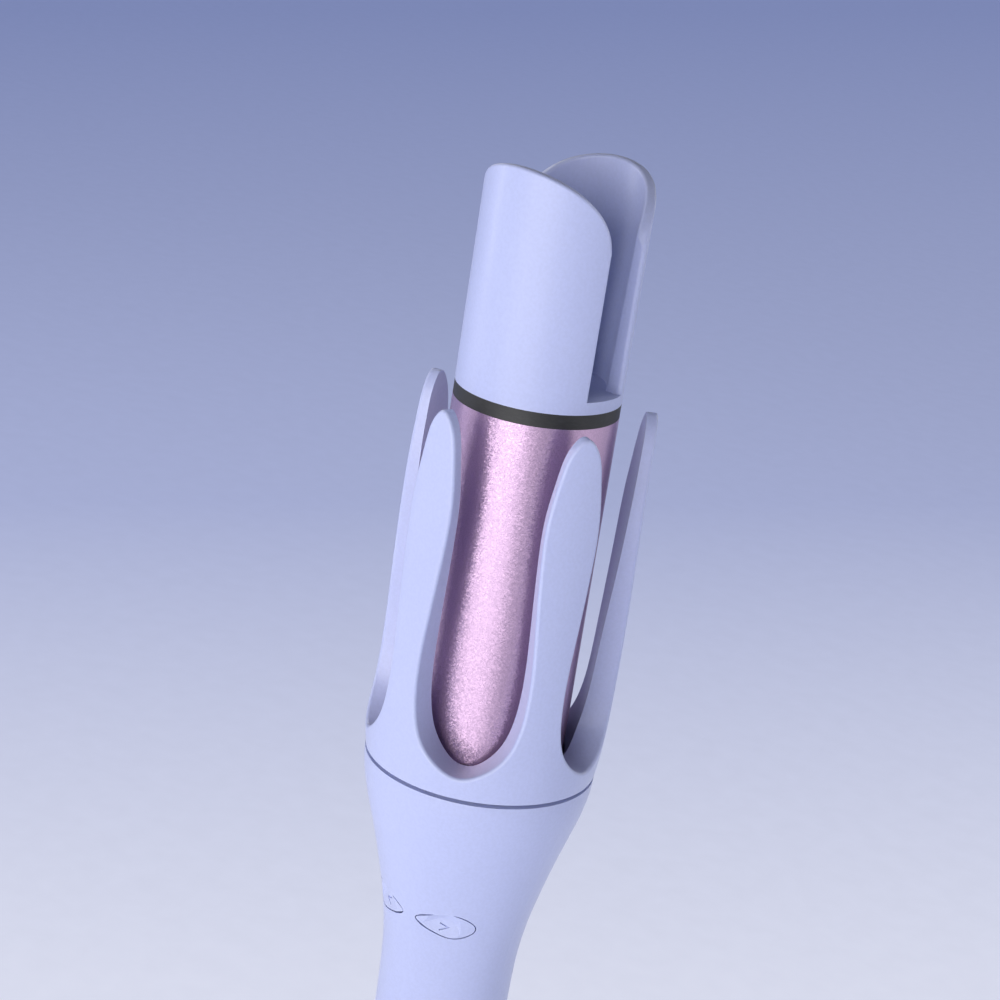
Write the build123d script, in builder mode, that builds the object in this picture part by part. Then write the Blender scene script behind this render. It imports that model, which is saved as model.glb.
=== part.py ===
from build123d import *
import math
import os

# Automatic hair curler, in millimetres. +Z runs from the foot along the barrel to the tip, -Y is the
# front with the buttons, and the origin is the centre of the foot.

# Driving dimensions: overall stack along the axis
FOOT_Z = 0.0
SLEEVE_BOTTOM_Z = 14.4
SEAM_Z = 199.2  # top rim of the handle
CROWN_Z = 200.0  # underside of the crown
FLOOR_Z = 204.4  # floor inside the crown
BARREL_Z = 200.6
BARREL_TOP_Z = 273.4
HEAD_Z = 276.2
TIP_Z = 320.0

# Handle
WALL = 2.0
HANDLE_OUTLINE = [  # height, outer radius
    (14.4, 13.6), (40, 14.5), (70, 14.8), (105, 14.1), (138, 13.35), (150, 13.45), (159, 13.9),
    (165, 14.7), (171, 16.0), (180, 18.3), (189, 21.0), (195, 22.5), (199.2, 22.9),
]
COLLAR_R = 18.4  # bush seat inside the mouth of the handle
COLLAR_Z = 190.8
MOUTH_R = 20.9
MOUTH_Z = 198.4

# Crown
PETALS = 5
PETAL_START = -10.0  # angle of the first petal from the front, degrees
CROWN_HOLE_R = 16.4
CROWN_SCREW_R = 18.9
CROWN_SCREW_START = -100.0
CROWN_OUTER = [(200, 22.9), (204, 23.45), (210, 23.86), (222, 24.2), (240, 24.05), (256, 23.7), (276, 23.6)]
CROWN_INNER = [(209.7, 18.0), (217, 19.1), (226, 19.6), (242, 20.5), (260, 21.2), (276, 21.3)]
PETAL_ARC_R = 24.0  # radius at which the gap outline is laid out
GAP_OUTLINE = [  # half-width along the arc, height
    (0, 204.4), (5.4, 206.3), (9.0, 210.0), (10.8, 216.0), (11.25, 224.0), (10.5, 236.0), (9.55, 249.0),
    (9.5, 258.0), (10.7, 266.4), (12.4, 271.9), (15.08, 274.0),
]
GAP_EDGE_ROUND = 0.6

# Barrel and head
BARREL_R = 16.0
BARREL_WALL = 1.2
SLOT_HALF = 4.9
RIM_HALF = 15.3  # half-width of the superellipse that a head shell's rim follows
RIM_DROP = 30.0  # its height
RIM_POWER = 7  # the higher it is, the flatter the crest and the steeper the ends
RIM_REACH = 0.95  # part of the quarter ellipse that is used on each side
RIM_STEPS = 12
HEAD_FLOOR = 2.4
HEAD_WALL_LOW = 3.3
HEAD_WALL_HIGH = 1.9
RIM_ROUND = 0.6
HEAD_SCREWS = [(0, 9.5), (0, -9.5)]

# Direction buttons
BUTTON_ANGLE = 29.0
BUTTON_Z = 169.15
BUTTON_OUTLINE = [(-5.7, 0.75), (-2.4, 2.15), (1.2, 2.93), (4.4, 2.15)]
BUTTON_TIP_X = -6.2
BUTTON_END_X = 6.2
BUTTON_GAP = 0.22
BUTTON_LIP = 0.9
BUTTON_BASE = 11.8  # distance of a button cap's inner end from the axis
BUTTON_LIP_START = -4.8  # the lip stops short of the pointed tip
FACET_R = 14.80  # distance of the thumb facet's middle from the axis
FACET_TURN = 6.3  # the facet turns this much towards the button's tip, degrees
FACET_LEAN = 1.7  # and leans this much, so that it runs out flush at its lower edge
FACET_TAPER = -57
ARROW = [(-1.0, 0.27), (0.65, -0.58), (-1.2, -1.3)]
ARROW_DEPTH = 0.35
STEM_START = 9.7  # the stem under a button that presses its switch
STEM_R = 1.3
SWITCH_BOARD_START = 6.4  # distance of a switch board's inner face from the axis
SWITCH_BOARD_THICK = 0.8

# Power button
POWER_Z = 84.0
POWER_R = 5.0
LENS_Z = 96.0
LENS_R = 1.2

# Gear train: the crown's ring gear turns 42/12 slower than the layshaft
RING_TEETH = 42
PINION_TEETH = 12
RING_MODULE = 0.7
DRIVE_TEETH = 26
LAY_TEETH = 16
DRIVE_MODULE = 0.5
PRESSURE = math.radians(20)
LAY_Y = RING_MODULE * (RING_TEETH - PINION_TEETH) / 2  # layshaft's distance from the axis
BACKLASH = 0.12
HUB_R = 17.2
HUB_Z = 189.5
RING_TEETH_TOP_Z = 196.5
DECK_Z = 183.0
DECK_TOP_Z = 185.5
CHASSIS_TOP_Z = 176.5
GEAR_Z = 178.0
GEAR_TOP_Z = 182.0

# Motor and chassis
MOTOR_R = 9.8
MOTOR_Z = 106.0
GEARBOX_Z = 133.0
GEARBOX_TOP_Z = 156.0
SHAFT_R = 1.5
CRADLE_R = 11.0
CHASSIS_Z = 17.4
BOARD_HALF = 10.9
BOARD_Y = -0.6
BOARD_THICK = 1.6
BOARD_TOP_Z = 102.0
LEAD_X = 10.5
LEAD_Y = -1.6
LEAD_R = 0.6
POSTS = [(8.95, 8.95), (-8.95, 8.95), (8.95, -8.95), (-8.95, -8.95)]
COLUMN_SCREWS = [(0, -10.0), (9.85, 1.7), (-9.85, 1.7)]
END_SCREWS = [(8.0, 0), (-8.0, 0)]

# End cap and cord inlet
FOOT_OUTER_R = 11.9
FOOT_INNER_R = 10.4
RECESS_Z = 1.2
GLAND_R = 4.6
CORD_R = 3.1

UNIT_SPEED = (1.0, 1.0)  # end speed of the splines that have end tangents

os.makedirs("parts", exist_ok=True)


def save(builder, name):
    """Label the finished piece and write it as its own STEP file."""
    builder.part.label = name
    export_step(builder.part, "parts/" + name + ".step")


def handle_form(inset, bottom=SLEEVE_BOTTOM_Z, top=SEAM_Z):
    """Solid of revolution of the handle's outline, with its radius reduced by inset."""
    with BuildPart() as form:
        with BuildSketch(Plane.XZ):
            with BuildLine():
                side = Spline([(radius - inset, z) for z, radius in HANDLE_OUTLINE])
                Polyline(side @ 1, (0, HANDLE_OUTLINE[-1][0]), (0, HANDLE_OUTLINE[0][0]), side @ 0)
            make_face()
        revolve(axis=Axis.Z)
        with BuildSketch(Plane.XY.offset(bottom)):
            Circle(60)
        extrude(amount=top - bottom, mode=Mode.INTERSECT)
    return form.part


def involute_angle(base_r, r):
    """Polar angle of an involute at radius r, from its start on the base circle."""
    if r <= base_r:
        return 0.0
    tangent = math.sqrt((r / base_r) ** 2 - 1)
    return tangent - math.atan(tangent)


def gear_face(teeth, module, tip_r, root_r, slack, phase=0.0):
    """Face of a gear with involute flanks; slack narrows every tooth at the pitch circle."""
    pitch_r = module * teeth / 2
    base_r = pitch_r * math.cos(PRESSURE)
    half = (math.pi * module / 2 - slack) / 2 / pitch_r + involute_angle(base_r, pitch_r)
    radii = [root_r] + [max(base_r, root_r) + k / 3 * (tip_r - max(base_r, root_r)) for k in range(4)]
    flank = [(r, half - involute_angle(base_r, r)) for r in radii]
    if root_r >= base_r:
        flank = flank[1:]
    points = []
    for k in range(teeth):
        middle = math.radians(phase) + 2 * math.pi * k / teeth
        for r, offset in flank:
            points.append((r * math.cos(middle - offset), r * math.sin(middle - offset)))
        for r, offset in reversed(flank):
            points.append((r * math.cos(middle + offset), r * math.sin(middle + offset)))
    with BuildSketch() as face:
        with BuildLine():
            Polyline(points, close=True)
        make_face()
    return face.sketch


def teardrop(grow):
    """Button outline grown by grow, tip on the left, round end on the right."""
    top = [(x + grow * x / 6, y + grow) for x, y in BUTTON_OUTLINE]
    bottom = [(x, -y) for x, y in reversed(top)]
    left = (BUTTON_TIP_X - grow, 0)
    right = (BUTTON_END_X + grow, 0)
    with BuildSketch() as outline:
        with BuildLine():
            Spline([left] + top + [right], tangents=[(0, 1), (0, -1)], tangent_scalars=UNIT_SPEED)
            Spline([right] + bottom + [left], tangents=[(0, -1), (0, 1)], tangent_scalars=UNIT_SPEED)
        make_face()
    return outline.sketch


def gap_sketch(distance):
    """Gap between two petals, as a radial wall cuts a plane at the given distance from the axis."""
    right = [(distance * math.tan(s / PETAL_ARC_R), z) for s, z in GAP_OUTLINE]
    edge_x, edge_z = right[-1]
    over_x = distance * math.tan(1.3 * GAP_OUTLINE[-1][0] / PETAL_ARC_R)
    with BuildSketch(Plane.XZ.offset(distance)) as sketch:
        with BuildLine():
            Spline(right, tangents=[(1, 0), (1, 0)], tangent_scalars=UNIT_SPEED)
            Polyline((edge_x, edge_z), (over_x, edge_z), (over_x, edge_z + 6))
            Line((over_x, edge_z + 6), (-over_x, edge_z + 6))
            Polyline((-over_x, edge_z + 6), (-over_x, edge_z), (-edge_x, edge_z))
            left = [(-x, z) for x, z in reversed(right)]
            Spline(left, tangents=[(1, 0), (1, 0)], tangent_scalars=UNIT_SPEED)
        make_face()
    return sketch.sketch


def above_rim(distance):
    """Space above a head shell's rim, as a radial wall cuts a plane at the given distance from the axis."""
    points = []
    for step in range(-RIM_STEPS, RIM_STEPS + 1):
        turn = RIM_REACH * step / RIM_STEPS * math.pi / 2
        angle = math.asin(RIM_HALF * math.sin(turn) / BARREL_R)
        height = TIP_Z - RIM_DROP * (1 - math.cos(turn) ** (2 / RIM_POWER))
        points.append((distance * math.tan(angle), height))
    end_x = points[-1][0]
    # even parameters keep the rim level through the wall when two of these faces are lofted
    parameters = [step / (2 * RIM_STEPS) for step in range(2 * RIM_STEPS + 1)]
    with BuildSketch(Plane.XZ.offset(distance)) as sketch:
        with BuildLine():
            add(Edge.make_spline(points, parameters=parameters))
            Polyline(points[-1], (end_x, TIP_Z + 4), (-end_x, TIP_Z + 4), points[0])
        make_face()
    return sketch.sketch


def ring_of_revolution(outline):
    """Face in the XZ plane through the given (radius, height) points."""
    with BuildSketch(Plane.XZ) as section:
        with BuildLine():
            Polyline(outline, close=True)
        make_face()
    return section.sketch


handle_outside = handle_form(0)
handle_cavity = handle_form(WALL)
button_outside = handle_form(0.02)
button_cavity = handle_form(WALL + 0.25)
button_core = handle_form(WALL + 1.35)

# ---------------------------------------------------------------- handle sleeve
button_planes = []
for side in (1, -1):
    angle = math.radians(BUTTON_ANGLE)
    normal = Vector(side * math.sin(angle), -math.cos(angle), 0)
    across = Vector(math.cos(angle), side * math.sin(angle), 0)
    button_planes.append(Plane(origin=(0, 0, BUTTON_Z), x_dir=across, z_dir=normal))
front_plane = Plane(origin=(0, 0, POWER_Z), x_dir=(1, 0, 0), z_dir=(0, -1, 0))
lens_plane = Plane(origin=(0, 0, LENS_Z), x_dir=(1, 0, 0), z_dir=(0, -1, 0))

hole_outline = teardrop(0)
mirrored_hole = mirror(hole_outline, about=Plane.YZ)

with BuildPart() as handle_sleeve:
    add(handle_outside)
    add(handle_cavity, mode=Mode.SUBTRACT)
    # thick collar that seats the bush, and the open mouth above it
    with BuildSketch(Plane.XZ):
        with BuildLine():
            Polyline((17, COLLAR_Z - 3.4), (19.4, COLLAR_Z - 2.4), (22, MOUTH_Z), (17, MOUTH_Z), close=True)
        make_face()
    revolve(axis=Axis.Z)
    with BuildSketch(Plane.XY.offset(COLLAR_Z - 4)):
        Circle(COLLAR_R)
    extrude(amount=12, mode=Mode.SUBTRACT)
    with BuildSketch(Plane.XY.offset(MOUTH_Z)):
        Circle(MOUTH_R)
    extrude(amount=4, mode=Mode.SUBTRACT)
    # button, power button and light openings
    with BuildSketch(button_planes[0]):
        add(hole_outline)
    extrude(amount=24, mode=Mode.SUBTRACT)
    with BuildSketch(button_planes[1]):
        add(mirrored_hole)
    extrude(amount=24, mode=Mode.SUBTRACT)
    with BuildSketch(front_plane):
        Circle(POWER_R + BUTTON_GAP)
    extrude(amount=24, mode=Mode.SUBTRACT)
    with BuildSketch(lens_plane):
        Circle(LENS_R)
    extrude(amount=24, mode=Mode.SUBTRACT)
save(handle_sleeve, "handle_sleeve")

# ---------------------------------------------------------------- end cap, screws, cord gland
with BuildPart() as end_cap:
    with BuildSketch(Plane.XZ):
        with BuildLine():
            Polyline((0, 14.0), (0, FOOT_Z), (FOOT_OUTER_R, FOOT_Z))
            ThreePointArc((FOOT_OUTER_R, FOOT_Z), (13.0, 3.2), (13.55, 14.0))
            Line((13.55, 14.0), (0, 14.0))
        make_face()
    revolve(axis=Axis.Z)
    with BuildSketch(Plane.XY.offset(14.0)):
        Circle(HANDLE_OUTLINE[0][1] - WALL - 0.1)
    extrude(amount=3.0)
    # hollow above the floor of the cap
    with BuildSketch(Plane.XY.offset(8.2)):
        Circle(10.2)
    extrude(amount=9.0, mode=Mode.SUBTRACT)
    with BuildSketch(Plane.XY.offset(8.2)):
        with Locations(END_SCREWS):
            Circle(2.4)
    extrude(amount=CHASSIS_Z - 8.2)
    with BuildSketch(Plane.XY.offset(FOOT_Z)):
        Circle(FOOT_INNER_R)
    extrude(amount=RECESS_Z, mode=Mode.SUBTRACT)
    with BuildSketch(Plane.XY):
        Circle(GLAND_R + 0.06)
    extrude(amount=9.0, mode=Mode.SUBTRACT)
    with Locations((0, 0, 14.0)):
        Cylinder(GLAND_R + 1.8, 11.6, mode=Mode.SUBTRACT)
    with Locations(*[(x, y, RECESS_Z) for x, y in END_SCREWS]):
        Cylinder(1.95, 5.0, align=(Align.CENTER, Align.CENTER, Align.MIN), mode=Mode.SUBTRACT)
        Cylinder(1.15, 20.0, align=(Align.CENTER, Align.CENTER, Align.MIN), mode=Mode.SUBTRACT)
save(end_cap, "end_cap")


def screws(places, head_z, head_r, head_h, shank_r, length):
    """Group of identical pan-head screws with a cross recess, their shanks pointing to +Z."""
    with BuildPart(Plane.XY.offset(head_z)) as group:
        for x, y in places:
            with Locations((x, y, 0)):
                Cylinder(head_r, head_h, align=(Align.CENTER, Align.CENTER, Align.MIN))
                Cylinder(shank_r, head_h + length, align=(Align.CENTER, Align.CENTER, Align.MIN))
                Box(head_r * 1.1, 0.4, 0.6, align=(Align.CENTER, Align.CENTER, Align.MIN), mode=Mode.SUBTRACT)
                Box(0.4, head_r * 1.1, 0.6, align=(Align.CENTER, Align.CENTER, Align.MIN), mode=Mode.SUBTRACT)
    return group


save(screws(END_SCREWS, 4.7, 1.85, 1.5, 0.98, 14.6), "end_cap_screws")

with BuildPart() as cord_gland:
    with BuildSketch(Plane.XZ):
        with BuildLine():
            Polyline((CORD_R, 0.6), (4.2, 0.6), (GLAND_R, 1.2), (GLAND_R, 8.4), (6.0, 8.4), (6.0, 9.8))
            Polyline((6.0, 9.8), (4.4, 9.8), (4.4, 13.0), (CORD_R, 13.0), (CORD_R, 0.6))
        make_face()
    revolve(axis=Axis.Z)
save(cord_gland, "cord_gland")

# ---------------------------------------------------------------- chassis
with BuildPart() as chassis:
    # bottom bulkhead
    with BuildSketch(Plane.XY.offset(CHASSIS_Z)):
        Circle(11.0)
    extrude(amount=2.6)
    # open half-pipe that carries board, motor and gearbox
    with BuildSketch(Plane.XY.offset(CHASSIS_Z)):
        Circle(CRADLE_R)
        Circle(CRADLE_R - 1.0, mode=Mode.SUBTRACT)
        with Locations((0, BOARD_Y - 10)):
            Rectangle(30, 20, mode=Mode.SUBTRACT)
    extrude(amount=CHASSIS_TOP_Z - 2.0 - CHASSIS_Z)
    # bulkhead under the motor
    with BuildSketch(Plane.XY.offset(MOTOR_Z - 3.0)):
        Circle(CRADLE_R)
        with Locations((0, BOARD_Y - 10)):
            Rectangle(30, 20, mode=Mode.SUBTRACT)
    extrude(amount=2.0)
    # ribs across the board bay
    for rib_z in (42.0, 64.0):
        with BuildSketch(Plane.XY.offset(rib_z)):
            Circle(CRADLE_R)
            with Locations((0, BOARD_Y - 10)):
                Rectangle(30, 20, mode=Mode.SUBTRACT)
            with Locations((0, 4.5)):
                Rectangle(13, 7, mode=Mode.SUBTRACT)
        extrude(amount=1.4)
    # top plate and the posts of the gear case
    with BuildSketch(Plane.XY.offset(CHASSIS_TOP_Z - 2.0)):
        Circle(14.3)
        Circle(4.0, mode=Mode.SUBTRACT)
        with Locations((LEAD_X, LEAD_Y), (-LEAD_X, LEAD_Y)):
            Circle(1.1, mode=Mode.SUBTRACT)
        with Locations((0, LAY_Y)):
            Circle(1.05, mode=Mode.SUBTRACT)
    extrude(amount=2.0)
    with BuildSketch(Plane.XY.offset(CHASSIS_TOP_Z - 0.5)):
        with Locations(POSTS):
            Circle(1.9)
    extrude(amount=DECK_Z - CHASSIS_TOP_Z + 0.5)
    with BuildSketch(Plane.XY.offset(CHASSIS_TOP_Z - 2.0)):
        with Locations(POSTS):
            Circle(0.9)
    extrude(amount=DECK_Z - CHASSIS_TOP_Z + 2.0, mode=Mode.SUBTRACT)
    # pilot holes for the end cap screws, and the cord's passage
    with BuildSketch(Plane.XY.offset(CHASSIS_Z)):
        with Locations(END_SCREWS):
            Circle(1.0)
        Circle(4.8)
    extrude(amount=2.6, mode=Mode.SUBTRACT)
    # arms that hold the switch boards
    for plane in button_planes:
        with BuildSketch(plane.offset(5.2)):
            with Locations((0, 3.6)):
                Rectangle(5.0, 3.5)
        extrude(amount=1.2)
    with BuildSketch(Plane.XY.offset(BUTTON_Z + 3.6)):
        with BuildLine():
            Polyline((-6.2, -7.6), (-9.6, -1.0), (-10.6, 0), (10.6, 0), (9.6, -1.0), (6.2, -7.6), close=True)
        make_face()
        Circle(4.0, mode=Mode.SUBTRACT)
    extrude(amount=1.75)
save(chassis, "chassis")

# ---------------------------------------------------------------- control board
with BuildPart() as main_board:
    with BuildSketch(Plane.XZ.offset(-BOARD_Y)):
        with Locations((0, (22 + BOARD_TOP_Z) / 2)):
            RectangleRounded(2 * BOARD_HALF, BOARD_TOP_Z - 22, 1.0)
        with Locations((-8.6, 26), (8.6, 26), (-8.6, 72), (8.6, 72)):
            Circle(1.0, mode=Mode.SUBTRACT)
    extrude(amount=BOARD_THICK)
save(main_board, "main_board")

BOARD_FACE_Y = BOARD_Y - BOARD_THICK
with BuildPart() as board_parts:
    # supply capacitor, relay, two chips, terminal block and a row of chokes on the front of the board
    with BuildSketch(Plane.XY.offset(28)):
        with Locations((-4.6, BOARD_FACE_Y - 3.6)):
            Circle(3.6)
    extrude(amount=18)
    with Locations((4.2, BOARD_FACE_Y, 37)):
        Box(7.6, 6.4, 14.0, align=(Align.CENTER, Align.MAX, Align.CENTER))
    with Locations((-4.5, BOARD_FACE_Y, 56), (5.5, BOARD_FACE_Y, 55)):
        Box(6.0, 1.6, 8.0, align=(Align.CENTER, Align.MAX, Align.CENTER))
    with Locations((0, BOARD_FACE_Y, 24.5)):
        Box(12.0, 6.0, 4.6, align=(Align.CENTER, Align.MAX, Align.CENTER))
    for z in (66.0, 70.5):
        with Locations((-4.0, BOARD_FACE_Y, z), (2.0, BOARD_FACE_Y, z)):
            Box(4.4, 1.2, 2.2, align=(Align.CENTER, Align.MAX, Align.CENTER))
save(board_parts, "board_parts")

with BuildPart() as power_switch:
    with Locations((0, BOARD_FACE_Y, POWER_Z)):
        Box(6.0, 3.5, 6.0, align=(Align.CENTER, Align.MAX, Align.CENTER))
    with BuildSketch(Plane(origin=(0, BOARD_FACE_Y - 3.4, POWER_Z), x_dir=(1, 0, 0), z_dir=(0, -1, 0))):
        Circle(1.6)
    extrude(amount=0.9)
save(power_switch, "power_switch")

POWER_FACE_Y = -14.75
with BuildPart() as power_button:
    with BuildSketch(front_plane.offset(9.4)):
        Circle(POWER_R)
    extrude(amount=-POWER_FACE_Y - 9.4)
    with BuildSketch(front_plane.offset(9.4)):
        Circle(POWER_R + 1.1)
    extrude(amount=1.2)
    with BuildSketch(front_plane.offset(7.6)):
        Circle(1.9)
    extrude(amount=2.0)
    fillet(power_button.faces().filter_by(Axis.Y).sort_by(Axis.Y)[0].edges(), 0.5)
    with BuildSketch(front_plane.offset(-POWER_FACE_Y - 0.3)):
        Circle(2.0)
        Circle(1.6, mode=Mode.SUBTRACT)
        with Locations((0, 1.8)):
            Rectangle(1.1, 1.2, mode=Mode.SUBTRACT)
        with Locations((0, 1.6)):
            Rectangle(0.4, 1.6)
    extrude(amount=1.0, mode=Mode.SUBTRACT)
save(power_button, "power_button")

with BuildPart() as indicator_lens:
    with BuildSketch(lens_plane.offset(-BOARD_FACE_Y)):
        Circle(LENS_R - 0.05)
    extrude(amount=12.1)
    with BuildSketch(lens_plane.offset(-BOARD_FACE_Y)):
        Circle(1.9)
    extrude(amount=8.0)
save(indicator_lens, "indicator_lens")

# ---------------------------------------------------------------- motor, gearbox, drive shaft
with BuildPart() as motor:
    with BuildSketch(Plane.XY.offset(MOTOR_Z)):
        Circle(MOTOR_R)
    extrude(amount=GEARBOX_Z - MOTOR_Z)
    fillet(motor.faces().sort_by(Axis.Z)[0].edges(), 1.2)
    with Locations((-5.5, -3, MOTOR_Z), (5.5, -3, MOTOR_Z)):
        Box(1.6, 0.4, 6.4)
save(motor, "motor")

with BuildPart() as gearbox:
    with BuildSketch(Plane.XY.offset(GEARBOX_Z)):
        Circle(MOTOR_R)
    extrude(amount=GEARBOX_TOP_Z - GEARBOX_Z)
    with BuildSketch(Plane.XY.offset(GEARBOX_TOP_Z)):
        Circle(4.0)
    extrude(amount=3.0)
    # grooves between the stages of the ring housing
    for z in (140.0, 147.5):
        with BuildSketch(Plane.XY.offset(z)):
            Circle(MOTOR_R + 1)
            Circle(MOTOR_R - 0.4, mode=Mode.SUBTRACT)
        extrude(amount=0.6, mode=Mode.SUBTRACT)
    with BuildSketch(Plane.XY.offset(GEARBOX_TOP_Z - 6.0)):
        Circle(SHAFT_R + 0.05)
    extrude(amount=10.0, mode=Mode.SUBTRACT)
save(gearbox, "gearbox")

with BuildPart() as drive_shaft:
    with BuildSketch(Plane.XY.offset(GEARBOX_TOP_Z - 5.8)):
        Circle(SHAFT_R)
    extrude(amount=DECK_Z + 2.0 - GEARBOX_TOP_Z + 5.8)
save(drive_shaft, "drive_shaft")

drive_face = gear_face(DRIVE_TEETH, DRIVE_MODULE, DRIVE_MODULE * (DRIVE_TEETH / 2 + 0.9),
                       DRIVE_MODULE * (DRIVE_TEETH / 2 - 1.25), BACKLASH)
with BuildPart() as drive_gear:
    with BuildSketch(Plane.XY.offset(GEAR_Z)):
        add(drive_face)
        Circle(SHAFT_R, mode=Mode.SUBTRACT)
    extrude(amount=GEAR_TOP_Z - GEAR_Z)
    with BuildSketch(Plane.XY.offset(GEAR_TOP_Z - 1.0)):
        Circle(5.2)
        Circle(2.8, mode=Mode.SUBTRACT)
    extrude(amount=1.0, mode=Mode.SUBTRACT)
save(drive_gear, "drive_gear")

# ---------------------------------------------------------------- layshaft stage
with BuildPart() as layshaft:
    with Locations((0, LAY_Y, CHASSIS_TOP_Z - 1.9)):
        Cylinder(1.0, 197.0 - CHASSIS_TOP_Z + 1.9, align=(Align.CENTER, Align.CENTER, Align.MIN))
save(layshaft, "layshaft")

lay_face = gear_face(LAY_TEETH, DRIVE_MODULE, DRIVE_MODULE * (LAY_TEETH / 2 + 0.9),
                     DRIVE_MODULE * (LAY_TEETH / 2 - 1.25), BACKLASH)
with BuildPart() as layshaft_gear:
    with BuildSketch(Plane.XY.offset(GEAR_Z)):
        with Locations((0, LAY_Y)):
            add(lay_face)
            Circle(1.0, mode=Mode.SUBTRACT)
    extrude(amount=GEAR_TOP_Z - GEAR_Z)
save(layshaft_gear, "layshaft_gear")

pinion_face = gear_face(PINION_TEETH, RING_MODULE, RING_MODULE * (PINION_TEETH / 2 + 0.9),
                        RING_MODULE * (PINION_TEETH / 2 - 1.3), BACKLASH)
with BuildPart() as pinion:
    with BuildSketch(Plane.XY.offset(HUB_Z + 0.5)):
        with Locations((0, LAY_Y)):
            add(pinion_face)
            Circle(1.0, mode=Mode.SUBTRACT)
    extrude(amount=RING_TEETH_TOP_Z - HUB_Z - 0.5)
    with BuildSketch(Plane.XY.offset(DECK_TOP_Z + 0.4)):
        with Locations((0, LAY_Y)):
            Circle(2.6)
            Circle(1.0, mode=Mode.SUBTRACT)
    extrude(amount=HUB_Z + 0.5 - DECK_TOP_Z - 0.4)
save(pinion, "pinion")

# ---------------------------------------------------------------- gear deck
with BuildPart() as gear_deck:
    with BuildSketch(Plane.XZ):
        with BuildLine():
            Polyline((0, DECK_Z), (17.05, DECK_Z), (17.75, DECK_TOP_Z), (0, DECK_TOP_Z), close=True)
        make_face()
    revolve(axis=Axis.Z)
    with BuildSketch(Plane.XY.offset(DECK_Z)):
        Circle(SHAFT_R + 0.05)
        with Locations((0, LAY_Y)):
            Circle(1.05)
        with Locations((LEAD_X, LEAD_Y), (-LEAD_X, LEAD_Y)):
            Circle(1.1)
        with Locations(COLUMN_SCREWS):
            Circle(1.15)
    extrude(amount=DECK_TOP_Z - DECK_Z, mode=Mode.SUBTRACT)
    with BuildSketch(Plane.XY.offset(DECK_Z)):
        with Locations(POSTS):
            Circle(0.9)
    extrude(amount=1.9, mode=Mode.SUBTRACT)
save(gear_deck, "gear_deck")
save(screws(POSTS, 173.2, 1.5, 1.3, 0.85, 10.0), "gear_deck_screws")
save(screws(COLUMN_SCREWS, DECK_Z - 1.1, 1.7, 1.1, 1.0, 8.0), "column_screws")

# ---------------------------------------------------------------- barrel column
COLUMN_R = 13.6
with BuildPart() as barrel_column:
    with BuildSketch(Plane.XY.offset(DECK_TOP_Z)):
        Circle(COLUMN_R)
    extrude(amount=BARREL_Z - DECK_TOP_Z)
    with BuildSketch(Plane.XY.offset(197.6)):
        Circle(BARREL_R - 0.1)
    extrude(amount=BARREL_Z - 197.6)
    with BuildSketch(Plane.XY.offset(BARREL_Z)):
        Circle(BARREL_R - BARREL_WALL - 0.05)
    extrude(amount=9.0)
    # pocket for the pinion
    with BuildSketch(Plane.XY.offset(DECK_TOP_Z)):
        with Locations((0, LAY_Y)):
            Circle(5.5)
    extrude(amount=197.2 - DECK_TOP_Z, mode=Mode.SUBTRACT)
    # central bore over the drive shaft, lead passages and screw holes
    with BuildSketch(Plane.XY.offset(DECK_TOP_Z)):
        Circle(3.5)
        with Locations((LEAD_X, LEAD_Y), (-LEAD_X, LEAD_Y)):
            Circle(1.0)
    extrude(amount=30, mode=Mode.SUBTRACT)
    with BuildSketch(Plane.XY.offset(DECK_TOP_Z)):
        with Locations(COLUMN_SCREWS):
            Circle(1.0)
    extrude(amount=5.6, mode=Mode.SUBTRACT)
    # cross holes for the barrel screws
    with Locations(Location((0, 0, 206.6), (90, 0, 0))):
        Cylinder(0.8, 40, mode=Mode.SUBTRACT)
save(barrel_column, "barrel_column")

# ---------------------------------------------------------------- bush, ring gear, clip
with BuildPart() as bearing_bush:
    add(ring_of_revolution([(HUB_R + 0.05, 191.6), (COLLAR_R, 191.6), (COLLAR_R, MOUTH_Z),
                            (19.9, MOUTH_Z), (19.9, 199.0), (HUB_R + 0.05, 199.0)]))
    revolve(axis=Axis.Z)
save(bearing_bush, "bearing_bush")

ring_void = gear_face(RING_TEETH, RING_MODULE, RING_MODULE * (RING_TEETH / 2 + 1.2),
                      RING_MODULE * (RING_TEETH / 2 - 0.55), -BACKLASH, 180 / RING_TEETH)
with BuildPart() as ring_gear:
    add(ring_of_revolution([(0, HUB_Z), (HUB_R, HUB_Z), (HUB_R, 199.3), (20.6, 199.3), (20.6, CROWN_Z),
                            (0, CROWN_Z)]))
    revolve(axis=Axis.Z)
    with BuildSketch(Plane.XY.offset(HUB_Z)):
        add(ring_void)
    extrude(amount=RING_TEETH_TOP_Z - HUB_Z, mode=Mode.SUBTRACT)
    with BuildSketch(Plane.XY.offset(RING_TEETH_TOP_Z)):
        Circle(16.3)
    extrude(amount=6, mode=Mode.SUBTRACT)
    # groove for the clip
    with BuildSketch(Plane.XY.offset(190.2)):
        Circle(HUB_R + 1)
        Circle(HUB_R - 0.55, mode=Mode.SUBTRACT)
    extrude(amount=1.0, mode=Mode.SUBTRACT)
    with BuildSketch(Plane.XY.offset(199.0)):
        with PolarLocations(CROWN_SCREW_R, PETALS, start_angle=CROWN_SCREW_START):
            Circle(0.9)
    extrude(amount=2, mode=Mode.SUBTRACT)
save(ring_gear, "ring_gear")

with BuildPart() as ring_clip:
    with BuildSketch(Plane.XY.offset(190.25)):
        Circle(HUB_R + 1.0)
        Circle(HUB_R - 0.5, mode=Mode.SUBTRACT)
        with Locations((0, -HUB_R)):
            Rectangle(5.0, 5.0, mode=Mode.SUBTRACT)
    extrude(amount=0.9)
save(ring_clip, "ring_clip")

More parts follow.
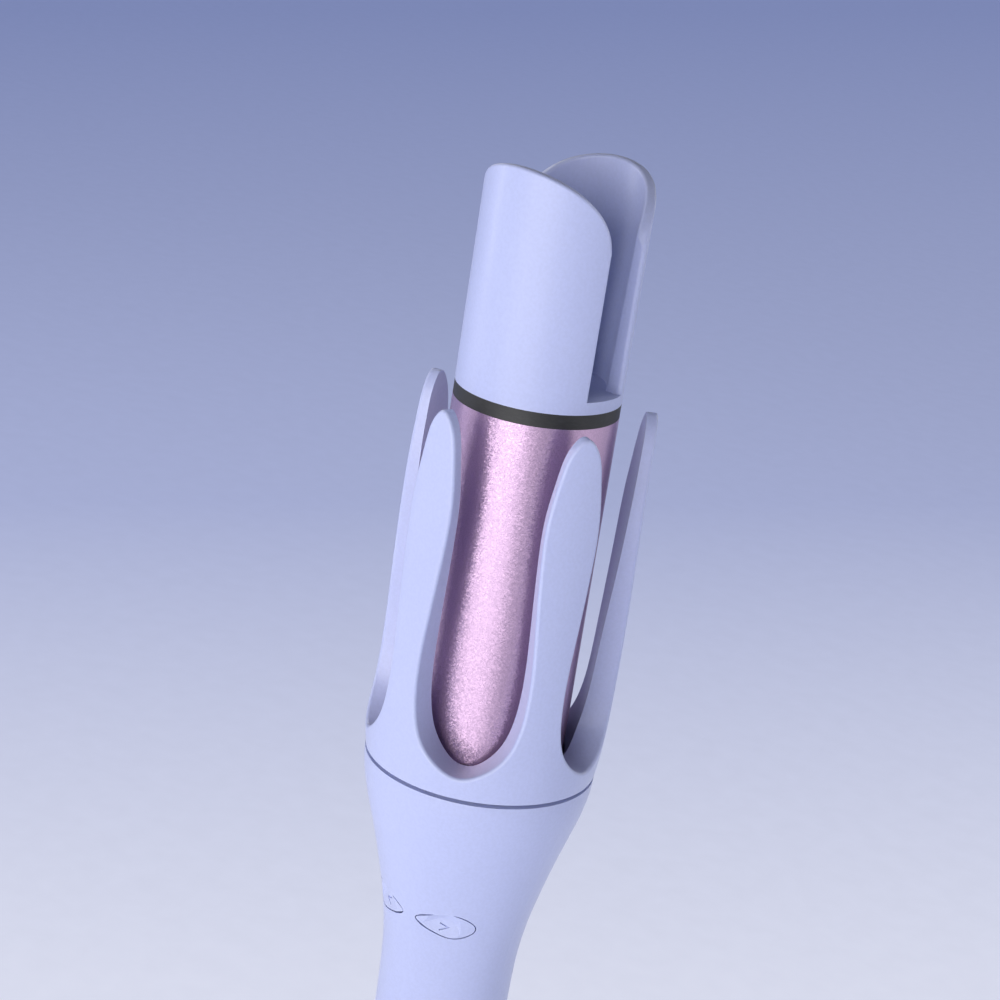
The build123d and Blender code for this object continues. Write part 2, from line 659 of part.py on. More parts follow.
# ---------------------------------------------------------------- crown
gap_cutters = []
inner_face = gap_sketch(14.0)
outer_face = gap_sketch(26.5)
cutter = loft([inner_face, outer_face], ruled=True)
for k in range(PETALS):
    gap_cutters.append(cutter.rotate(Axis.Z, PETAL_START + (k + 0.5) * 360 / PETALS))

with BuildPart() as crown:
    with BuildSketch(Plane.XZ):
        with BuildLine():
            outside = Spline([(r, z) for z, r in CROWN_OUTER])
            inside = Spline([(r, z) for z, r in reversed(CROWN_INNER)])
            Line(outside @ 1, inside @ 0)
            Line(inside @ 1, (17.4, FLOOR_Z + 1.4))
            ThreePointArc((17.4, FLOOR_Z + 1.4), (17.0, FLOOR_Z + 0.35), (CROWN_HOLE_R + 0.3, FLOOR_Z))
            Polyline((CROWN_HOLE_R + 0.3, FLOOR_Z), (CROWN_HOLE_R, FLOOR_Z - 0.3), (CROWN_HOLE_R, CROWN_Z),
                     outside @ 0)
        make_face()
    revolve(axis=Axis.Z)
    for piece in gap_cutters:
        add(piece, mode=Mode.SUBTRACT)
    with BuildSketch(Plane.XY.offset(CROWN_Z)):
        with PolarLocations(CROWN_SCREW_R, PETALS, start_angle=CROWN_SCREW_START):
            Circle(0.8)
    extrude(amount=3.4, mode=Mode.SUBTRACT)
    outer_skin = crown.faces().sort_by(SortBy.AREA)[-1]
    fillet(outer_skin.edges().filter_by(lambda edge: edge.center().Z > FLOOR_Z), GAP_EDGE_ROUND)
save(crown, "crown")

with BuildPart() as crown_screws:
    with BuildSketch(Plane.XY.offset(CROWN_Z - 0.65)):
        with PolarLocations(CROWN_SCREW_R, PETALS, start_angle=CROWN_SCREW_START):
            Circle(0.8)
    extrude(amount=3.6)
    with BuildSketch(Plane.XY.offset(CROWN_Z - 0.65)):
        with PolarLocations(CROWN_SCREW_R, PETALS, start_angle=CROWN_SCREW_START):
            RegularPolygon(0.45, 6)
    extrude(amount=0.5, mode=Mode.SUBTRACT)
save(crown_screws, "crown_screws")

# ---------------------------------------------------------------- barrel, insulating ring, head
with BuildPart() as barrel:
    with BuildSketch(Plane.XY.offset(BARREL_Z)):
        Circle(BARREL_R)
        Circle(BARREL_R - BARREL_WALL, mode=Mode.SUBTRACT)
    extrude(amount=BARREL_TOP_Z - BARREL_Z)
    with Locations(Location((0, 0, 206.6), (90, 0, 0))):
        Cylinder(0.8, 40, mode=Mode.SUBTRACT)
save(barrel, "barrel")

with BuildPart() as insulating_ring:
    with BuildSketch(Plane.XY.offset(BARREL_TOP_Z)):
        Circle(BARREL_R - 0.02)
    extrude(amount=HEAD_Z - BARREL_TOP_Z)
    with BuildSketch(Plane.XY.offset(BARREL_TOP_Z - 4.0)):
        Circle(BARREL_R - BARREL_WALL - 0.05)
        Circle(BARREL_R - BARREL_WALL - 2.0, mode=Mode.SUBTRACT)
    extrude(amount=4.2)
    with BuildSketch(Plane.XY.offset(BARREL_TOP_Z)):
        with Locations(HEAD_SCREWS):
            Circle(1.1)
    extrude(amount=5, mode=Mode.SUBTRACT)
save(insulating_ring, "insulating_ring")

rim_cutter = loft([above_rim(4.0), above_rim(BARREL_R + 1)], ruled=True)

with BuildPart() as head:
    with BuildSketch(Plane.XY.offset(HEAD_Z)):
        Circle(BARREL_R)
    extrude(amount=TIP_Z - HEAD_Z + 0.5)
    # hollow, tapering towards the tip
    with BuildSketch(Plane.XZ):
        with BuildLine():
            Polyline((0, HEAD_Z + HEAD_FLOOR), (BARREL_R - HEAD_WALL_LOW, HEAD_Z + HEAD_FLOOR),
                     (BARREL_R - HEAD_WALL_HIGH, TIP_Z + 1), (0, TIP_Z + 1), close=True)
        make_face()
    revolve(axis=Axis.Z, mode=Mode.SUBTRACT)
    # hair slot
    with Locations((0, 0, HEAD_Z + HEAD_FLOOR)):
        Box(40, 2 * SLOT_HALF, 60, align=(Align.CENTER, Align.CENTER, Align.MIN), mode=Mode.SUBTRACT)
    add(rim_cutter, mode=Mode.SUBTRACT)
    add(rim_cutter.rotate(Axis.Z, 180), mode=Mode.SUBTRACT)
    with BuildSketch(Plane.XY.offset(HEAD_Z)):
        with Locations(HEAD_SCREWS):
            Circle(0.8)
    extrude(amount=2.0, mode=Mode.SUBTRACT)
    rims = head.edges().filter_by(lambda edge: edge.center().Z > HEAD_Z + HEAD_FLOOR + 2 and edge.length > 4)
    fillet(rims, RIM_ROUND)
save(head, "head")
save(screws(HEAD_SCREWS, BARREL_TOP_Z - 1.1, 1.7, 1.1, 0.8, 4.6), "head_screws")

with BuildPart() as barrel_screws:
    for turn_deg in (90, -90):
        with Locations(Location((0, 0, 206.6), (turn_deg, 0, 0))):
            with Locations((0, 0, 10.0)):
                Cylinder(0.78, 5.9, align=(Align.CENTER, Align.CENTER, Align.MIN))
save(barrel_screws, "barrel_screws")

# ---------------------------------------------------------------- heater
HEATER_Z = 214.0
HEATER_TOP_Z = 266.0
PTC_HALF = 2.4
with BuildPart() as ptc_heater:
    with Locations((0, 0, HEATER_Z)):
        Box(22.4, 2 * PTC_HALF, HEATER_TOP_Z - HEATER_Z, align=(Align.CENTER, Align.CENTER, Align.MIN))
save(ptc_heater, "ptc_heater")


def spreader(side):
    """Extruded aluminium half that fills the barrel on one side of the heating element."""
    with BuildPart() as half:
        with BuildSketch(Plane.XY.offset(HEATER_Z + 1.0)):
            Circle(BARREL_R - BARREL_WALL - 0.05)
            with Locations((0, -side * (20 - PTC_HALF))):
                Rectangle(40, 40, mode=Mode.SUBTRACT)
            with Locations((0, side * (PTC_HALF + 4.6))):
                RectangleRounded(13.0, 5.0, 1.0, mode=Mode.SUBTRACT)
        extrude(amount=HEATER_TOP_Z - HEATER_Z - 2.0)
    return half


save(spreader(-1), "front_spreader")
save(spreader(1), "rear_spreader")

with BuildPart() as thermistor:
    with Locations((3.0, -PTC_HALF - 3.4, 236)):
        Cylinder(1.2, 7.0)
    fillet(thermistor.edges().filter_by(GeomType.CIRCLE), 0.6)
save(thermistor, "thermistor")

with BuildPart() as thermal_fuse:
    with Locations((-3.0, PTC_HALF + 4.0, 230)):
        Cylinder(1.6, 9.0)
        Cylinder(0.4, 20.0)
save(thermal_fuse, "thermal_fuse")

with BuildPart() as heater_leads:
    for x in (LEAD_X, -LEAD_X):
        with Locations((x, LEAD_Y, BOARD_TOP_Z)):
            Cylinder(LEAD_R, HEATER_Z - BOARD_TOP_Z, align=(Align.CENTER, Align.CENTER, Align.MIN))
save(heater_leads, "heater_leads")

# ---------------------------------------------------------------- direction buttons and their switches
for name, plane, side in (("right_button", button_planes[0], 1), ("left_button", button_planes[1], -1)):
    cap_outline = teardrop(-BUTTON_GAP)
    lip_outline = teardrop(BUTTON_LIP)
    if side < 0:
        cap_outline = mirror(cap_outline, about=Plane.YZ)
        lip_outline = mirror(lip_outline, about=Plane.YZ)
    facet = Plane(origin=plane.from_local_coords((0, 0, FACET_R)), x_dir=plane.x_dir, z_dir=plane.z_dir)
    facet = facet.rotated((FACET_LEAN, -side * FACET_TURN, 0))
    # thumb facet: a flat floor below a curved brow
    with BuildSketch(facet) as facet_floor:
        with BuildLine():
            brow = Line((-7.2 * side, -1.15), (-1.8 * side, 1.0))
            bend = ThreePointArc(brow @ 1, (1.2 * side, 0.85), (2.75 * side, -0.9))
            Polyline(bend @ 1, (2.95 * side, -1.7), (2.95 * side, -5.0), (-7.2 * side, -5.0), brow @ 0)
        make_face()
    with BuildPart() as cap:
        with BuildSketch(plane.offset(BUTTON_BASE)):
            add(cap_outline)
        extrude(amount=10)
        add(button_outside, mode=Mode.INTERSECT)
        add(button_core, mode=Mode.SUBTRACT)
        extrude(facet_floor.sketch, amount=1.6, taper=FACET_TAPER, mode=Mode.SUBTRACT)
        # engraved arrow
        with BuildSketch(facet.offset(-ARROW_DEPTH)):
            with BuildLine():
                Polyline([(u * side, v) for u, v in ARROW])
            trace(line_width=0.30)
        extrude(amount=1.0, mode=Mode.SUBTRACT)
    with BuildPart() as lip:
        with BuildSketch(plane):
            add(lip_outline)
            with Locations((side * (BUTTON_LIP_START - 10), 0)):
                Rectangle(20, 20, mode=Mode.SUBTRACT)
        extrude(amount=24)
        add(button_cavity, mode=Mode.INTERSECT)
        add(button_core, mode=Mode.SUBTRACT)
    with BuildPart() as button:
        add(cap.part)
        add(lip.part)
        with BuildSketch(plane.offset(STEM_START)):
            Circle(STEM_R)
        extrude(amount=3.2)
    save(button, name)

with BuildPart() as switch_boards:
    for plane in button_planes:
        with BuildSketch(plane.offset(SWITCH_BOARD_START)):
            Rectangle(7.0, 7.0)
        extrude(amount=SWITCH_BOARD_THICK)
save(switch_boards, "switch_boards")

with BuildPart() as direction_switches:
    for plane in button_planes:
        with BuildSketch(plane.offset(SWITCH_BOARD_START + SWITCH_BOARD_THICK)):
            Rectangle(4.6, 4.6)
        extrude(amount=1.2)
        with BuildSketch(plane.offset(8.4)):
            Circle(1.0)
        extrude(amount=0.6)
save(direction_switches, "direction_switches")
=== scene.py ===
import math
import bmesh
import bpy
from mathutils import Matrix, Vector

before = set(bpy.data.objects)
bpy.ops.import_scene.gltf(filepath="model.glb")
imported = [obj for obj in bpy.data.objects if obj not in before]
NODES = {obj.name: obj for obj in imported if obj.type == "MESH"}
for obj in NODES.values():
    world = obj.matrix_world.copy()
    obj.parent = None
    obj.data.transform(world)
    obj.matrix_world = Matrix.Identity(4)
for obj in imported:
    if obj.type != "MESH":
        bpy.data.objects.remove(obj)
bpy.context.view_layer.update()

# Camera: seen from 35 degrees to the right of the front, leaning with the object's axis
CAMERA_AZIMUTH = math.radians(35)
CAMERA_DISTANCE = 0.46918
CAMERA_HEIGHT = 0.41038
CAMERA_TILT = -0.3236
CAMERA_PAN = -0.0084
CAMERA_ROLL = 0.1558
CAMERA_LENS = 92.84

# Colours, linear
LAVENDER = (0.500, 0.545, 0.800)
LAVENDER_HEAD = (0.480, 0.525, 0.780)
LAVENDER_BUTTON = (0.510, 0.555, 0.805)
LILAC_METAL = (0.540, 0.370, 0.510)
CHARCOAL = (0.014, 0.014, 0.013)
# The floor's three tones are painted light falloff: bright near the set, dim far off
FLOOR_PAINTED_FALLOFF_NEAR = (0.665, 0.687, 0.814)
FLOOR_PAINTED_FALLOFF_MIDDLE = (0.380, 0.422, 0.650)
FLOOR_PAINTED_FALLOFF_FAR = (0.227, 0.275, 0.521)
SKY = (0.86, 0.89, 1.0)

# Floor's painted light falloff: a bearing about a point, from the bright near tone through the middle one to
# the dim far one
FLOOR_RADIUS = 9.0
FLOOR_PAINTED_GLOW = 0.84  # painted glow: share of its tone that the paper gives off as light, though it is no lamp
FLOOR_SHADE = (0.4, 0.4, 0.4)  # share that it reflects
SWEEP_CENTRE = (-1.91, -2.08, 0)
SWEEP_START = math.radians(52.4)
SWEEP_MIDDLE = math.sin(math.radians(8.9))
SWEEP_END = math.sin(math.radians(31.9))

# Lights
MIDDLE = (0, 0, 0.24)  # the place that the lights point at
HANDLE_MIDDLE = (0, 0, 0.17)
WHITE = (1.0, 0.985, 1.0)
COOL = (0.95, 0.95, 1.0)
HORIZON_STRENGTH = 0.40
CEILING_STRENGTH = 0.05

SATIN_ROUGHNESS = 0.36
GRAIN = 0.00022  # size of the moulded grain on the shells, metres


class Nodes:
    """A material's node tree, with short calls for the nodes used here."""

    def __init__(self, name):
        self.material = bpy.data.materials.new(name)
        self.material.use_nodes = True
        self.tree = self.material.node_tree
        self.shader = self.tree.nodes["Principled BSDF"]
        self.place = self.add("ShaderNodeTexCoord").outputs["Object"]

    def add(self, kind, **settings):
        node = self.tree.nodes.new(kind)
        for key, value in settings.items():
            setattr(node, key, value)
        return node

    def plug(self, value, socket):
        if isinstance(value, bpy.types.NodeSocket):
            self.tree.links.new(value, socket)
        else:
            socket.default_value = value

    def noise(self, size, detail=2.0, rough=0.5, stretch=(1, 1, 1), distortion=0.0):
        """Noise with features of the given size in metres."""
        spread = self.add("ShaderNodeMapping")
        self.plug(self.place, spread.inputs["Vector"])
        spread.inputs["Scale"].default_value = stretch
        made = self.add("ShaderNodeTexNoise")
        self.plug(spread.outputs["Vector"], made.inputs["Vector"])
        made.inputs["Scale"].default_value = 1 / size
        made.inputs["Detail"].default_value = detail
        made.inputs["Roughness"].default_value = rough
        made.inputs["Distortion"].default_value = distortion
        return made.outputs["Fac"]

    def cells(self, size, feature="F1", output="Distance", randomness=1.0):
        made = self.add("ShaderNodeTexVoronoi", feature=feature)
        self.plug(self.place, made.inputs["Vector"])
        made.inputs["Scale"].default_value = 1 / size
        made.inputs["Randomness"].default_value = randomness
        return made.outputs[output]

    def math(self, operation, a, b):
        made = self.add("ShaderNodeMath", operation=operation)
        for value, socket in zip((a, b), made.inputs):
            self.plug(value, socket)
        return made.outputs[0]

    def spread(self, value, low, high, out_low=0.0, out_high=1.0):
        made = self.add("ShaderNodeMapRange")
        for given, socket in zip((value, low, high, out_low, out_high), made.inputs):
            self.plug(given, socket)
        return made.outputs[0]

    def mix(self, share, a, b, blend="MIX"):
        made = self.add("ShaderNodeMix", data_type="RGBA", blend_type=blend)
        self.plug(share, made.inputs[0])
        for value, socket in ((a, made.inputs[6]), (b, made.inputs[7])):
            self.plug((*value, 1) if isinstance(value, tuple) else value, socket)
        return made.outputs[2]

    def grey(self, value):
        made = self.add("ShaderNodeCombineColor")
        for socket in made.inputs:
            self.plug(value, socket)
        return made.outputs["Color"]

    def bump(self, height, strength, distance):
        made = self.add("ShaderNodeBump")
        self.plug(height, made.inputs["Height"])
        made.inputs["Strength"].default_value = strength
        made.inputs["Distance"].default_value = distance
        return made.outputs["Normal"]

    def edge(self, radius):
        """1 along sharp edges, 0 on open surfaces."""
        rounded = self.add("ShaderNodeBevel", samples=4)
        rounded.inputs["Radius"].default_value = radius
        geometry = self.add("ShaderNodeNewGeometry")
        dot = self.add("ShaderNodeVectorMath", operation="DOT_PRODUCT")
        self.plug(rounded.outputs["Normal"], dot.inputs[0])
        self.plug(geometry.outputs["Normal"], dot.inputs[1])
        return self.spread(dot.outputs["Value"], 0.995, 0.86)

    def finish(self, colour=None, roughness=None, normal=None, metal=None, **constants):
        for value, name in ((colour, "Base Color"), (roughness, "Roughness"),
                            (normal, "Normal"), (metal, "Metallic")):
            if value is not None:
                self.plug((*value, 1) if isinstance(value, tuple) else value, self.shader.inputs[name])
        for name, value in constants.items():
            self.shader.inputs[name.replace("_", " ")].default_value = value
        self.material.diffuse_color = (0.5, 0.5, 0.6, 1)
        return self.material


def satin_plastic(name, colour, roughness=SATIN_ROUGHNESS, grain=GRAIN, depth=0.00002):
    """Soft-touch moulded plastic: fine mould grain, faint flow marks, polished and slightly paler edges."""
    m = Nodes(name)
    deep = tuple(c * 0.955 for c in colour)
    flow = m.noise(0.045, detail=3, stretch=(1, 1, 0.35), distortion=0.6)
    tone = m.mix(m.spread(flow, 0.3, 0.7), deep, colour)
    speck = m.spread(m.noise(0.0006, detail=1), 0.35, 0.65, 0.975, 1.015)
    tone = m.mix(1.0, tone, m.grey(speck), "MULTIPLY")
    worn = m.math("MULTIPLY", m.edge(0.0005), m.spread(m.noise(0.004, detail=4), 0.35, 0.7, 0.1, 0.5))
    tone = m.mix(worn, tone, tuple(min(1.0, c * 1.12 + 0.02) for c in colour))
    smudge = m.spread(m.noise(0.018, detail=5, rough=0.6), 0.3, 0.7, -0.035, 0.045)
    gloss = m.math("ADD", m.math("ADD", smudge, roughness), m.math("MULTIPLY", worn, -0.12))
    pebble = m.noise(grain, detail=2, rough=0.55)
    fine = m.cells(grain * 2.2)
    height = m.math("ADD", pebble, m.math("MULTIPLY", fine, 0.5))
    normal = m.bump(height, 0.22, depth)
    return m.finish(tone, gloss, normal, IOR=1.50, Subsurface_Weight=0.12, Subsurface_Scale=0.0012,
                    Subsurface_Radius=(0.8, 0.8, 1.0), Coat_Weight=0.12, Coat_Roughness=0.22,
                    Sheen_Weight=0.06, Sheen_Roughness=0.35)


def anodised_metal(name, colour):
    """Bead-blasted, anodised aluminium tube: every blasted facet leans its own way, which glitters."""
    m = Nodes(name)
    geometry = m.add("ShaderNodeNewGeometry")
    lean = None
    for size, amount in ((0.00024, 0.12), (0.00012, 0.09)):
        facet = m.add("ShaderNodeVectorMath", operation="SUBTRACT")
        m.plug(m.cells(size, output="Color"), facet.inputs[0])
        facet.inputs[1].default_value = (0.5, 0.5, 0.5)
        scaled = m.add("ShaderNodeVectorMath", operation="SCALE")
        m.plug(facet.outputs[0], scaled.inputs[0])
        scaled.inputs["Scale"].default_value = amount
        total = m.add("ShaderNodeVectorMath", operation="ADD")
        m.plug(lean if lean is not None else geometry.outputs["Normal"], total.inputs[0])
        m.plug(scaled.outputs[0], total.inputs[1])
        lean = total.outputs[0]
    unit = m.add("ShaderNodeVectorMath", operation="NORMALIZE")
    m.plug(lean, unit.inputs[0])
    glint = m.spread(m.noise(0.00025, detail=2, rough=0.7), 0.3, 0.7, 0.86, 1.12)
    tone = m.mix(1.0, colour, m.grey(glint), "MULTIPLY")
    bloom = m.spread(m.noise(0.02, detail=3), 0.3, 0.7)
    tone = m.mix(m.math("MULTIPLY", bloom, 0.10), tone, (0.60, 0.43, 0.58))
    gloss = m.spread(m.noise(0.012, detail=4), 0.3, 0.7, 0.27, 0.33)
    return m.finish(tone, gloss, unit.outputs[0], metal=0.90)


def plain_plastic(name, colour, roughness, grain=0.0003, fleck=0.06, dust=0.15):
    """Glass-filled engineering plastic: matt, with a faint fibre fleck, mould grain and dust."""
    m = Nodes(name)
    light = tuple(min(1.0, c * (1 + fleck) + 0.08 * dust) for c in colour)
    fibre = m.spread(m.noise(0.0011, detail=3, stretch=(1, 1, 4), rough=0.6), 0.42, 0.66)
    tone = m.mix(fibre, colour, light)
    dusty = m.spread(m.noise(0.015, detail=4), 0.35, 0.7, 0.0, 0.25)
    tone = m.mix(m.math("MULTIPLY", dusty, dust), tone, (0.45, 0.46, 0.47))
    gloss = m.spread(m.noise(0.009, detail=4), 0.3, 0.7, roughness - 0.05, roughness + 0.07)
    return m.finish(tone, gloss, m.bump(m.noise(grain, detail=3), 0.3, 0.00003), IOR=1.5)


def machined_steel(name, colour, roughness, stretch=(1, 1, 14), size=0.0025):
    """Turned or drawn steel: fine lines along one direction and small stains."""
    m = Nodes(name)
    lines = m.noise(size, detail=6, rough=0.75, stretch=stretch)
    tone = m.mix(m.spread(lines, 0.35, 0.65), tuple(c * 0.82 for c in colour), colour)
    stain = m.spread(m.noise(0.006, detail=4), 0.55, 0.75, 0.0, 0.35)
    tone = m.mix(stain, tone, tuple(c * 0.6 for c in colour))
    gloss = m.math("ADD", m.spread(lines, 0.3, 0.7, roughness - 0.06, roughness + 0.08),
                   m.math("MULTIPLY", stain, 0.15))
    return m.finish(tone, gloss, m.bump(lines, 0.25, 0.00002), metal=1.0)


def circuit_board(name):
    """Solder mask over copper: paler tracks in a grid, tinned pads and a fine weave of glass cloth."""
    m = Nodes(name)
    weave = m.add("ShaderNodeTexBrick", offset=0.5)
    m.plug(m.place, weave.inputs["Vector"])
    weave.inputs["Scale"].default_value = 900
    tracks = m.cells(0.0034, feature="DISTANCE_TO_EDGE", randomness=0.35)
    track = m.spread(tracks, 0.05, 0.09, 1.0, 0.0)
    pads = m.spread(m.cells(0.0026, randomness=0.15), 0.16, 0.19, 1.0, 0.0)
    tone = m.mix(track, (0.010, 0.085, 0.040), (0.025, 0.150, 0.070))
    tone = m.mix(pads, tone, (0.62, 0.60, 0.55))
    gloss = m.spread(m.noise(0.004, detail=3), 0.3, 0.7, 0.28, 0.42)
    height = m.math("ADD", m.math("ADD", track, pads), m.math("MULTIPLY", weave.outputs["Fac"], 0.2))
    return m.finish(tone, gloss, m.bump(height, 0.4, 0.00004), metal=m.math("MULTIPLY", pads, 0.9), IOR=1.5)


def rubber(name, colour):
    m = Nodes(name)
    tone = m.mix(m.spread(m.noise(0.012, detail=4), 0.3, 0.7), colour, tuple(c * 1.5 + 0.01 for c in colour))
    gloss = m.spread(m.noise(0.007, detail=4), 0.3, 0.7, 0.52, 0.66)
    return m.finish(tone, gloss, m.bump(m.noise(0.0004, detail=3), 0.35, 0.00004),
                    Sheen_Weight=0.1, Sheen_Roughness=0.5)


def frosted_lens(name):
    """Light pipe: milky, slightly see-through polycarbonate."""
    m = Nodes(name)
    tone = m.mix(m.spread(m.noise(0.002, detail=2), 0.3, 0.7), (0.80, 0.83, 0.90), (0.90, 0.92, 0.97))
    gloss = m.spread(m.noise(0.0015, detail=3), 0.3, 0.7, 0.16, 0.28)
    return m.finish(tone, gloss, m.bump(m.noise(0.0003), 0.15, 0.00002), IOR=1.58,
                    Transmission_Weight=0.45, Subsurface_Weight=0.2, Subsurface_Scale=0.001)


def ceramic(name):
    m = Nodes(name)
    mottle = m.spread(m.noise(0.003, detail=5, rough=0.7), 0.35, 0.7)
    tone = m.mix(mottle, (0.62, 0.60, 0.55), (0.80, 0.78, 0.73))
    gloss = m.spread(m.noise(0.002, detail=3), 0.3, 0.7, 0.5, 0.7)
    return m.finish(tone, gloss, m.bump(m.noise(0.0005, detail=4), 0.4, 0.00005))


def braided_sleeving(name):
    """Glass-fibre sleeving: a fine diagonal braid."""
    m = Nodes(name)
    wave = m.add("ShaderNodeTexWave", wave_type="BANDS", bands_direction="DIAGONAL")
    m.plug(m.place, wave.inputs["Vector"])
    wave.inputs["Scale"].default_value = 420
    wave.inputs["Distortion"].default_value = 1.5
    tone = m.mix(wave.outputs["Fac"], (0.55, 0.10, 0.08), (0.72, 0.20, 0.16))
    gloss = m.spread(m.noise(0.002), 0.3, 0.7, 0.45, 0.6)
    return m.finish(tone, gloss, m.bump(wave.outputs["Fac"], 0.5, 0.00006))


LOOKS = {
    "body_plastic": satin_plastic("shell_satin", LAVENDER),
    "head_plastic": satin_plastic("head_satin", LAVENDER_HEAD, roughness=0.40),
    "button_plastic": satin_plastic("button_satin", LAVENDER_BUTTON, roughness=0.32, depth=0.000012),
    "barrel_metal": anodised_metal("barrel_anodised", LILAC_METAL),
    "dark_ring": plain_plastic("ring_charcoal", CHARCOAL, 0.50, fleck=0.25, dust=0.03),
    "gland_rubber": rubber("gland_rubber", (0.30, 0.33, 0.50)),
    "clear_lens": frosted_lens("lens_frosted"),
    "screw_steel": machined_steel("screw_steel", (0.60, 0.61, 0.63), 0.30, stretch=(1, 1, 3), size=0.001),
    "frame_plastic": plain_plastic("frame_grey", (0.30, 0.31, 0.34), 0.50),
    "heat_plastic": plain_plastic("heat_brown", (0.045, 0.035, 0.030), 0.48, fleck=0.3),
    "circuit_board": circuit_board("circuit_board"),
    "board_component": plain_plastic("component_black", (0.025, 0.025, 0.028), 0.40, fleck=0.4),
    "motor_steel": machined_steel("motor_can", (0.55, 0.56, 0.57), 0.34),
    "gearbox_plastic": plain_plastic("gearbox_black", (0.050, 0.052, 0.058), 0.45, fleck=0.3),
    "shaft_steel": machined_steel("shaft_steel", (0.66, 0.66, 0.67), 0.22),
    "gear_plastic": plain_plastic("gear_acetal", (0.72, 0.72, 0.69), 0.38, fleck=0.03),
    "bush_plastic": plain_plastic("bush_white", (0.80, 0.80, 0.78), 0.35, fleck=0.02),
    "heater_ceramic": ceramic("heater_ceramic"),
    "spreader_aluminium": machined_steel("spreader_aluminium", (0.74, 0.75, 0.76), 0.36),
    "sensor_glass": plain_plastic("sensor_resin", (0.35, 0.13, 0.04), 0.25),
    "lead_sleeving": braided_sleeving("lead_sleeving"),
}

for node in NODES.values():
    for index, old in enumerate([s.material for s in node.material_slots]):
        node.material_slots[index].material = LOOKS[old.name.split(".")[0]]


def soft_light(name, place, target, size, power, colour=(1, 1, 1)):
    data = bpy.data.lights.new(name, "AREA")
    data.shape = "RECTANGLE"
    data.size, data.size_y = size
    data.energy = power
    data.color = colour
    lamp = bpy.data.objects.new(name, data)
    bpy.context.scene.collection.objects.link(lamp)
    lamp.location = place
    lamp.rotation_mode = "QUATERNION"
    lamp.rotation_quaternion = (Vector(target) - Vector(place)).to_track_quat("-Z", "Y")


def round_about(azimuth, distance, height):
    """A point at an azimuth measured from the front towards the right, in degrees."""
    a = math.radians(azimuth)
    return (distance * math.sin(a), -distance * math.cos(a), height)


# Camera
camera = bpy.data.objects.new("camera", bpy.data.cameras.new("camera"))
bpy.context.scene.collection.objects.link(camera)
camera.data.sensor_width = 36
camera.data.lens = CAMERA_LENS
camera.data.clip_start, camera.data.clip_end = 0.01, 50
forward = Vector((math.sin(CAMERA_PAN) * math.cos(CAMERA_TILT),
                  math.cos(CAMERA_PAN) * math.cos(CAMERA_TILT), math.sin(CAMERA_TILT)))
level = forward.cross(Vector((0, 0, 1))).normalized()
upright = level.cross(forward)
right = math.cos(CAMERA_ROLL) * level + math.sin(CAMERA_ROLL) * upright
above = math.cos(CAMERA_ROLL) * upright - math.sin(CAMERA_ROLL) * level
aim = Matrix((right, above, -forward)).transposed().to_4x4()
camera.matrix_world = (Matrix.Rotation(CAMERA_AZIMUTH, 4, "Z")
                       @ Matrix.Translation((0, -CAMERA_DISTANCE, CAMERA_HEIGHT)) @ aim)
bpy.context.scene.camera = camera
bpy.context.scene.view_settings.view_transform = "Standard"

# Floor: a wide sheet of pale paper with painted light: its tone deepens with the bearing from a point beside
# the set, in place of the light's falloff, which makes it even across the main view
floor_mesh = bpy.data.meshes.new("floor")
shape = bmesh.new()
bmesh.ops.create_circle(shape, cap_ends=True, cap_tris=False, segments=96, radius=FLOOR_RADIUS)
shape.to_mesh(floor_mesh)
shape.free()
floor = bpy.data.objects.new("floor", floor_mesh)
bpy.context.scene.collection.objects.link(floor)
paper = Nodes("floor_paper_painted_light")
offset = paper.add("ShaderNodeVectorMath", operation="SUBTRACT")
paper.plug(paper.place, offset.inputs[0])
offset.inputs[1].default_value = SWEEP_CENTRE
bearing = paper.add("ShaderNodeVectorMath", operation="NORMALIZE")
paper.plug(offset.outputs[0], bearing.inputs[0])
turned = paper.add("ShaderNodeVectorMath", operation="DOT_PRODUCT")
paper.plug(bearing.outputs[0], turned.inputs[0])
turned.inputs[1].default_value = (-math.sin(SWEEP_START), math.cos(SWEEP_START), 0)
sweep = turned.outputs["Value"]
# Painted light falloff: the floor's tone runs from bright near to dim far along the sweep
near_painted_falloff = paper.mix(paper.spread(sweep, 0.0, SWEEP_MIDDLE), FLOOR_PAINTED_FALLOFF_NEAR, FLOOR_PAINTED_FALLOFF_MIDDLE)
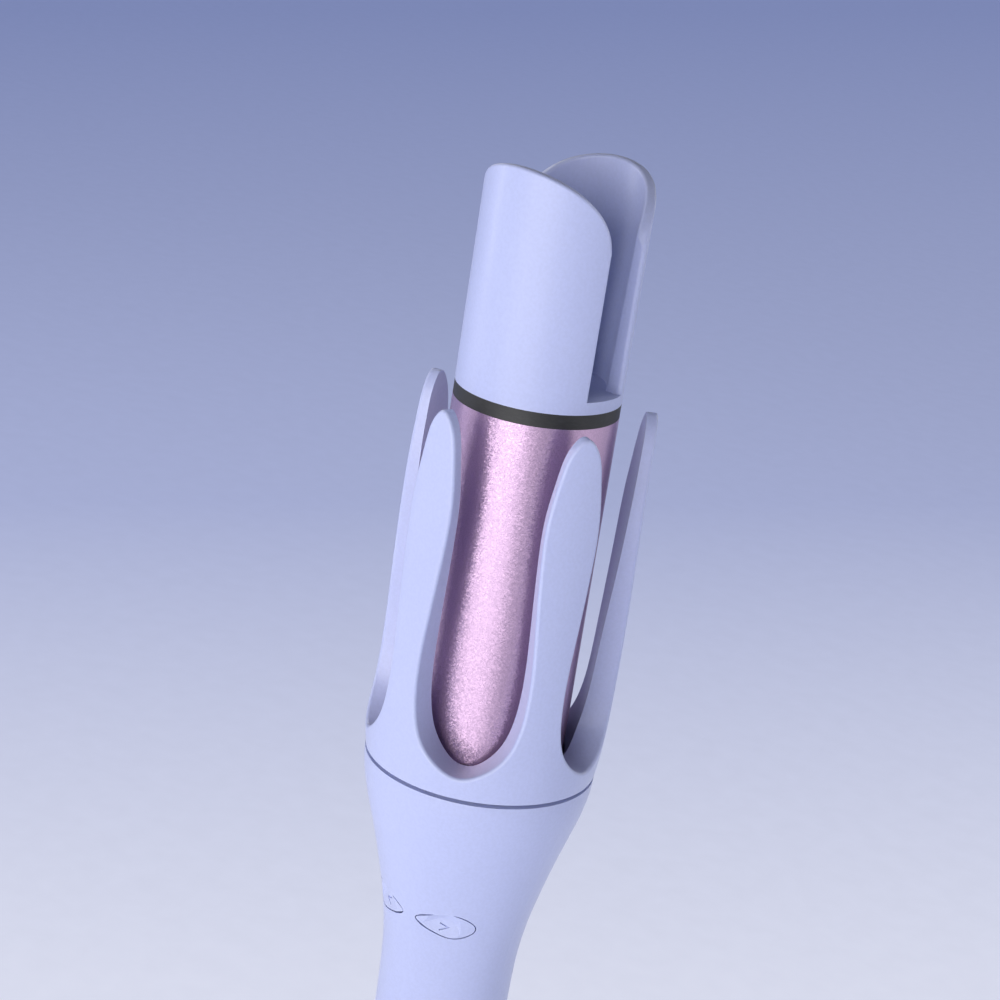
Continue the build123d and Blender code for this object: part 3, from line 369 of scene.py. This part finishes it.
painted_falloff_tone = paper.mix(paper.spread(sweep, SWEEP_MIDDLE, SWEEP_END), near_painted_falloff, FLOOR_PAINTED_FALLOFF_FAR)
mottle = paper.spread(paper.noise(0.01, detail=4), 0.3, 0.7, 0.985, 1.01)
painted_falloff_tone = paper.mix(1.0, painted_falloff_tone, paper.grey(mottle), "MULTIPLY")
# Painted glow: the floor gives off its painted tone as light, though it is no lamp
paper.plug(painted_falloff_tone, paper.shader.inputs["Emission Color"])
paper.shader.inputs["Emission Strength"].default_value = FLOOR_PAINTED_GLOW
# The base colour carries the same painted light falloff, scaled down to the share the floor reflects
base_with_painted_falloff = paper.mix(1.0, painted_falloff_tone, FLOOR_SHADE, "MULTIPLY")
tooth = paper.bump(paper.noise(0.002, detail=4), 0.08, 0.0002)
floor_mesh.materials.append(paper.finish(base_with_painted_falloff, 0.9, tooth, Specular_IOR_Level=0.1))

# World: a bright band at the horizon under a dim ceiling
world = bpy.data.worlds.new("studio")
bpy.context.scene.world = world
world.use_nodes = True
tree = world.node_tree
direction = tree.nodes.new("ShaderNodeTexCoord")
axes = tree.nodes.new("ShaderNodeSeparateXYZ")
tree.links.new(direction.outputs["Generated"], axes.inputs[0])
ceiling = tree.nodes.new("ShaderNodeMapRange")
tree.links.new(axes.outputs["Z"], ceiling.inputs["Value"])
for name, value in (("From Min", 0.05), ("From Max", 0.60),
                    ("To Min", HORIZON_STRENGTH), ("To Max", CEILING_STRENGTH)):
    ceiling.inputs[name].default_value = value
tree.links.new(ceiling.outputs["Result"], tree.nodes["Background"].inputs["Strength"])
tree.nodes["Background"].inputs["Color"].default_value = (*SKY, 1)

soft_light("key", round_about(4, 1.1, 0.42), MIDDLE, (1.0, 0.8), 9.3, WHITE)
soft_light("low_bounce", round_about(12, 0.38, 0.01), HANDLE_MIDDLE, (0.40, 0.25), 0.36)
soft_light("right_fill", round_about(115, 1.0, 0.45), MIDDLE, (0.6, 0.8), 1.6, (0.95, 0.96, 1.0))
soft_light("left_edge", round_about(-68, 0.9, 0.45), MIDDLE, (0.12, 0.8), 1.9, COOL)
soft_light("back_left", round_about(-118, 0.8, 0.75), MIDDLE, (0.10, 0.7), 0.9, COOL)
soft_light("back_right", round_about(165, 0.8, 0.60), MIDDLE, (0.12, 0.8), 1.5, COOL)
